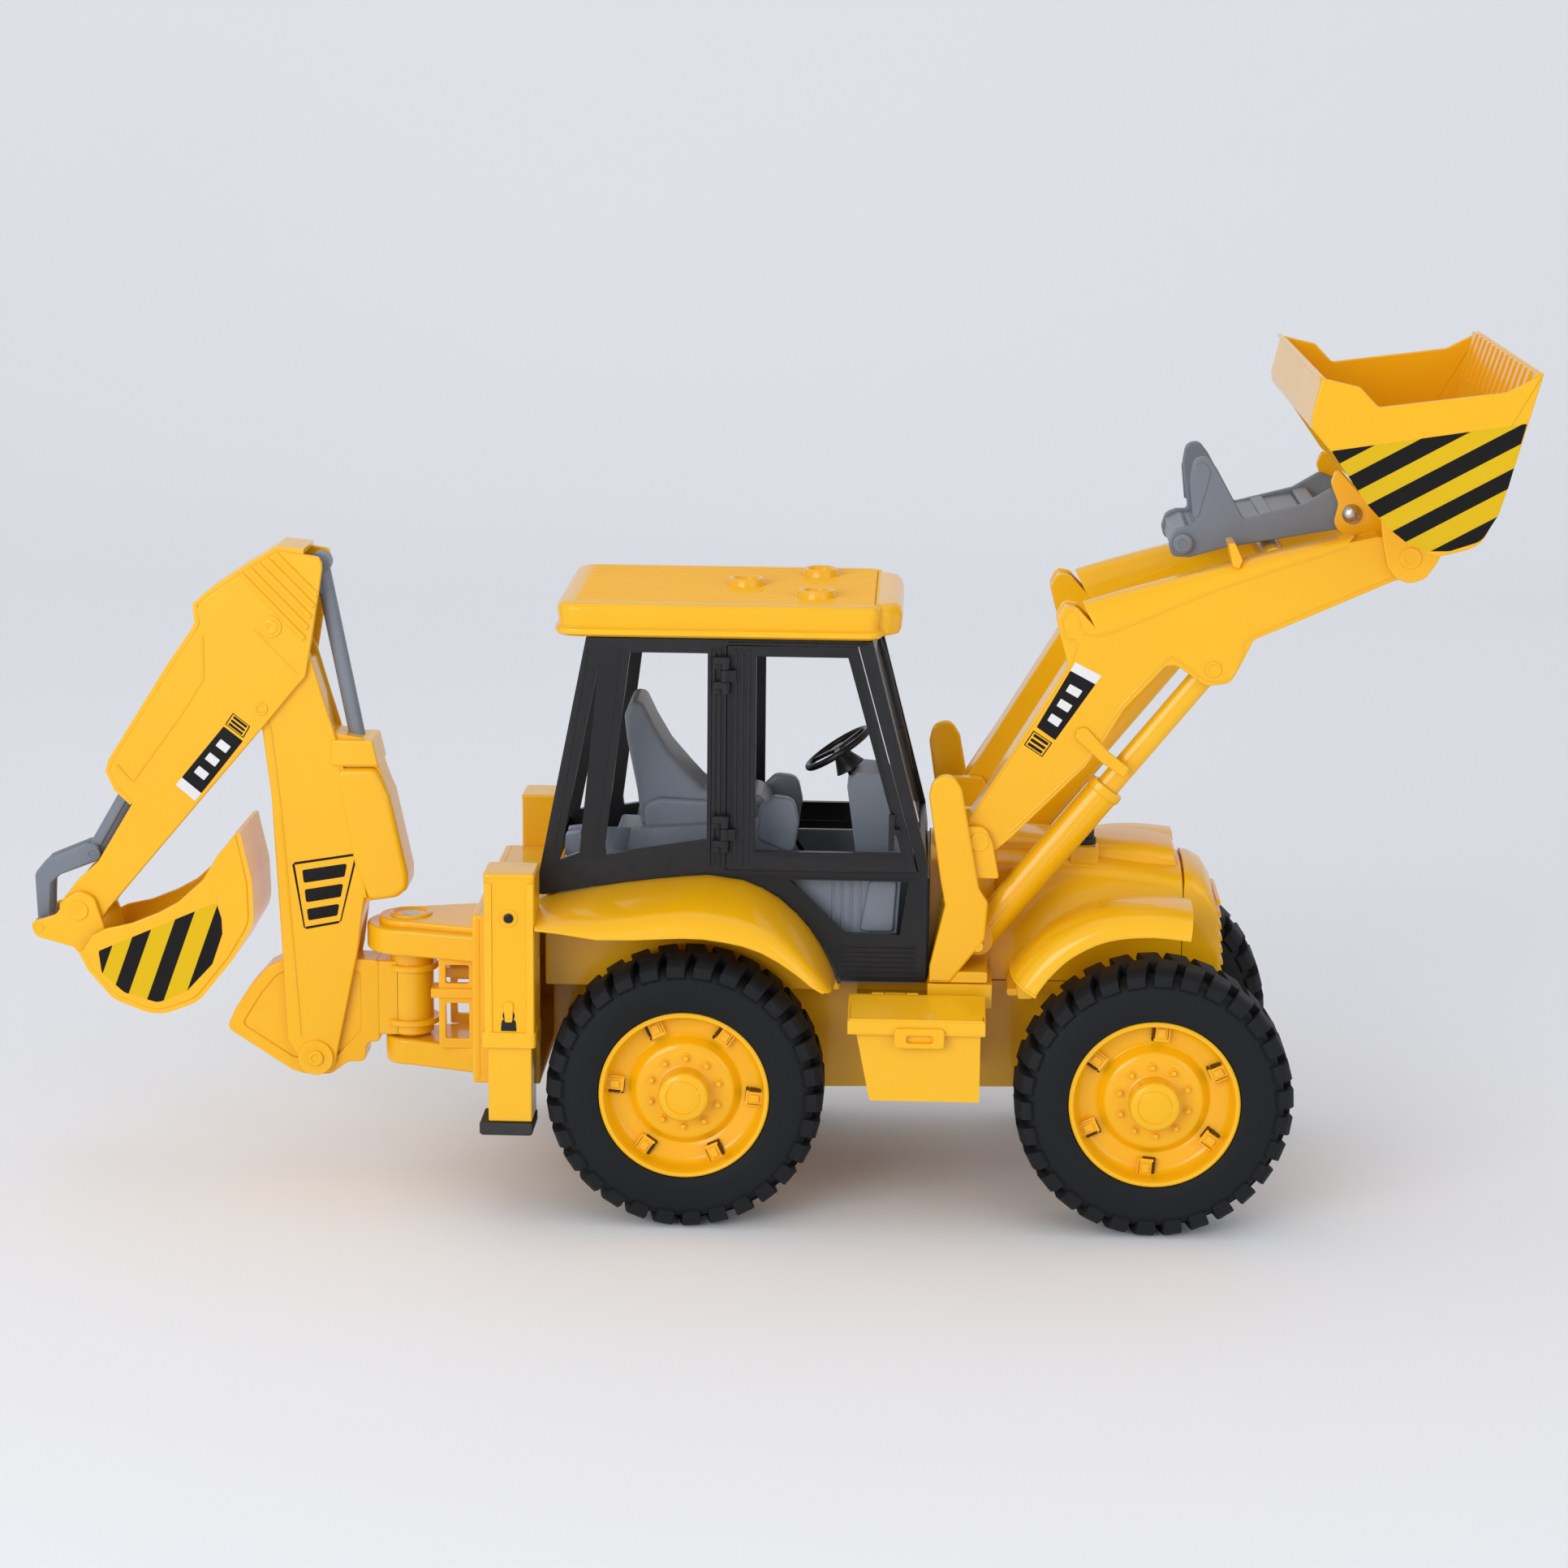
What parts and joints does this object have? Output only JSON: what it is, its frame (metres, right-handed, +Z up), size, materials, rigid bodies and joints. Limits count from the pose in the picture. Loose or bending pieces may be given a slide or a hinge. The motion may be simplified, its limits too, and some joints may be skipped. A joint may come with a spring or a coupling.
{
  "type": "toy backhoe loader",
  "caption": "Large wheeled toy backhoe loader with glazed cab, lifting front bucket, swinging rear digging arm, sliding stabilizers, steered front wheels and toolbox.",
  "frame": {"origin": "on the ground under the centre of the bounding box", "axes": "+X forward towards the loader bucket, +Y to the vehicle's left, +Z up"},
  "size_m": [0.6505, 0.1932, 0.3757],
  "materials": {
    "yellow_plastic": "glossy warm yellow moulded plastic",
    "black_plastic": "satin black moulded plastic",
    "grey_plastic": "satin blue-grey moulded plastic",
    "tyre_rubber": "matte hard rubber with lugs",
    "black_rubber": "matte rubber",
    "metal_pin": "plain steel",
    "clear_plastic": "clear moulded plastic"
  },
  "bodies": {
    "machine": {"bonnet": "yellow_plastic", "cab_frame": "black_plastic", "cab_interior_tub": "grey_plastic", "chassis": "yellow_plastic", "driver_seat": "grey_plastic", "exhaust_stack": "black_plastic", "front_axle_beam": "black_plastic", "front_fender_left": "yellow_plastic", "front_fender_right": "yellow_plastic", "hinge_pins": "black_plastic", "loader_tower_left": "yellow_plastic", "loader_tower_pins": "yellow_plastic", "loader_tower_right": "yellow_plastic", "nose_panel": "yellow_plastic", "rear_axle": "metal_pin", "rear_body": "yellow_plastic", "rear_frame": "yellow_plastic", "roof": "yellow_plastic", "stabilizer_screws": "black_plastic", "steering_knuckle_left": "black_plastic", "steering_knuckle_right": "black_plastic", "swing_king_pin": "metal_pin", "tie_rod": "black_plastic", "toolbox": "yellow_plastic", "windscreen": "clear_plastic"},
    "rear_wheel_left": {"rear_tyre_left": "tyre_rubber", "rear_rim_left": "yellow_plastic"},
    "rear_wheel_right": {"rear_tyre_right": "tyre_rubber", "rear_rim_right": "yellow_plastic"},
    "front_wheel_left": {"front_tyre_left": "tyre_rubber", "front_rim_left": "yellow_plastic"},
    "front_wheel_right": {"front_tyre_right": "tyre_rubber", "front_rim_right": "yellow_plastic"},
    "steering_wheel": {"steering_wheel": "black_plastic"},
    "door_left": {"cab_door_left": "black_plastic"},
    "door_right": {"cab_door_right": "black_plastic"},
    "toolbox_lid": {"toolbox_lid": "yellow_plastic"},
    "loader_arms": {"loader_arm_left": "yellow_plastic", "loader_arm_right": "yellow_plastic", "arm_cross_tube": "yellow_plastic"},
    "lift_barrel_left": {"lift_cylinder_barrel_left": "yellow_plastic"},
    "lift_barrel_right": {"lift_cylinder_barrel_right": "yellow_plastic"},
    "lift_rod_left": {"lift_cylinder_rod_left": "yellow_plastic"},
    "lift_rod_right": {"lift_cylinder_rod_right": "yellow_plastic"},
    "loader_bucket": {"loader_bucket": "yellow_plastic", "tilt_link_pin": "metal_pin"},
    "tilt_link": {"bucket_tilt_link": "grey_plastic"},
    "swing_bracket": {"swing_bracket": "yellow_plastic"},
    "boom": {"boom": "yellow_plastic", "boom_pins": "yellow_plastic"},
    "dipper": {"dipper_arm": "yellow_plastic"},
    "ram_rod": {"dipper_ram_rod": "grey_plastic"},
    "slider_rod": {"scoop_slider_rod": "grey_plastic"},
    "scoop_link": {"scoop_link": "grey_plastic"},
    "scoop": {"backhoe_scoop": "yellow_plastic", "scoop_pivot_pin": "yellow_plastic"},
    "stabilizer_left": {"stabilizer_leg_left": "yellow_plastic", "stabilizer_foot_left": "black_rubber"},
    "stabilizer_right": {"stabilizer_leg_right": "yellow_plastic", "stabilizer_foot_right": "black_rubber"}
  },
  "joints": [
    {"name": "rear_wheel_left_roll", "type": "hinge", "parent": "machine", "child": "rear_wheel_left", "pos_m": [-0.0258, 0, 0.06], "axis": [0, 1, 0], "continuous": true},
    {"name": "rear_wheel_right_roll", "type": "hinge", "parent": "machine", "child": "rear_wheel_right", "pos_m": [-0.0258, 0, 0.06], "axis": [0, 1, 0], "continuous": true},
    {"name": "front_wheel_left_roll", "type": "hinge", "parent": "machine", "child": "front_wheel_left", "pos_m": [0.1762, 0, 0.06], "axis": [0, 1, 0], "continuous": true},
    {"name": "front_wheel_right_roll", "type": "hinge", "parent": "machine", "child": "front_wheel_right", "pos_m": [0.1762, 0, 0.06], "axis": [0, 1, 0], "continuous": true},
    {"name": "steering_wheel_turn", "type": "hinge", "parent": "machine", "child": "steering_wheel", "pos_m": [0.0367, 0, 0.1947], "axis": [-0.546, 0, 0.8378], "continuous": true},
    {"name": "door_left_open", "type": "hinge", "parent": "machine", "child": "door_left", "pos_m": [-0.011, 0.0546, 0], "axis": [0, 0, 1], "range_deg": [0, 75]},
    {"name": "door_right_open", "type": "hinge", "parent": "machine", "child": "door_right", "pos_m": [-0.011, -0.0546, 0], "axis": [0, 0, -1], "range_deg": [0, 75]},
    {"name": "toolbox_lid_open", "type": "hinge", "parent": "machine", "child": "toolbox_lid", "pos_m": [-0.0258, -0.0644, 0.0982], "axis": [-1, 0, 0], "range_deg": [0, 75]},
    {"name": "loader_lower", "type": "hinge", "parent": "machine", "child": "loader_arms", "pos_m": [0.0995, 0, 0.1664], "axis": [0, 1, 0], "range_deg": [0, 74]},
    {"name": "lift_barrel_left_swing", "type": "hinge", "parent": "machine", "child": "lift_barrel_left", "pos_m": [0.0997, 0, 0.1205], "axis": [0, 1, 0], "range_deg": [0, 65]},
    {"name": "lift_rod_left_slide", "type": "slide", "parent": "lift_barrel_left", "child": "lift_rod_left", "axis": [0.6258, 0, 0.78], "range_m": [-0.0515, 0]},
    {"name": "lift_barrel_right_swing", "type": "hinge", "parent": "machine", "child": "lift_barrel_right", "pos_m": [0.0997, 0, 0.1205], "axis": [0, 1, 0], "range_deg": [0, 65]},
    {"name": "lift_rod_right_slide", "type": "slide", "parent": "lift_barrel_right", "child": "lift_rod_right", "axis": [0.6258, 0, 0.78], "range_m": [-0.0515, 0]},
    {"name": "bucket_tip", "type": "hinge", "parent": "loader_arms", "child": "loader_bucket", "pos_m": [0.2792, 0, 0.293], "axis": [0, 1, 0], "range_deg": [0, 95]},
    {"name": "tilt_link_swing", "type": "hinge", "parent": "loader_bucket", "child": "tilt_link", "pos_m": [0.2564, 0, 0.308], "axis": [0, 1, 0], "range_deg": [-95, 0]},
    {"name": "backhoe_swing", "type": "hinge", "parent": "machine", "child": "swing_bracket", "pos_m": [-0.1553, 0, 0.08], "axis": [0, 0, 1], "range_deg": [-70, 70]},
    {"name": "boom_raise", "type": "hinge", "parent": "swing_bracket", "child": "boom", "pos_m": [-0.1978, 0, 0.05], "axis": [0, 1, 0], "range_deg": [-42, 0]},
    {"name": "dipper_reach", "type": "hinge", "parent": "boom", "child": "dipper", "pos_m": [-0.2143, 0, 0.248], "axis": [0, 1, 0], "range_deg": [0, 55]},
    {"name": "ram_rod_swing", "type": "hinge", "parent": "dipper", "child": "ram_rod", "pos_m": [-0.1938, 0, 0.275], "axis": [0, 1, 0], "range_deg": [-46, 0]},
    {"name": "scoop_open", "type": "hinge", "parent": "dipper", "child": "scoop", "pos_m": [-0.3028, 0, 0.118], "axis": [0, 1, 0], "range_deg": [0, 48]},
    {"name": "slider_rod_slide", "type": "slide", "parent": "dipper", "child": "slider_rod", "axis": [0.5031, 0, 0.8642], "range_m": [0, 0.0162]},
    {"name": "scoop_link_swing", "type": "hinge", "parent": "slider_rod", "child": "scoop_link", "pos_m": [-0.2978, 0, 0.1415], "axis": [0, 1, 0], "range_deg": [0, 15]},
    {"name": "stabilizer_left_drop", "type": "slide", "parent": "machine", "child": "stabilizer_left", "axis": [0, 0, -1], "range_m": [0, 0.038]},
    {"name": "stabilizer_right_drop", "type": "slide", "parent": "machine", "child": "stabilizer_right", "axis": [0, 0, -1], "range_m": [0, 0.038]}
  ],
  "couplings": [
    {"joint": "tilt_link_swing", "follows": "bucket_tip", "ratio": -1},
    {"joint": "ram_rod_swing", "follows": "dipper_reach", "ratio": -0.8246},
    {"joint": "slider_rod_slide", "follows": "scoop_open", "m_per_rad": 0.015013},
    {"joint": "scoop_link_swing", "follows": "scoop_open", "ratio": 0.2423},
    {"joint": "lift_barrel_left_swing", "follows": "loader_lower", "ratio": 0.8729},
    {"joint": "lift_rod_left_slide", "follows": "loader_lower", "m_per_rad": -0.039223},
    {"joint": "lift_barrel_right_swing", "follows": "loader_lower", "ratio": 0.8729},
    {"joint": "lift_rod_right_slide", "follows": "loader_lower", "m_per_rad": -0.039223}
  ]
}
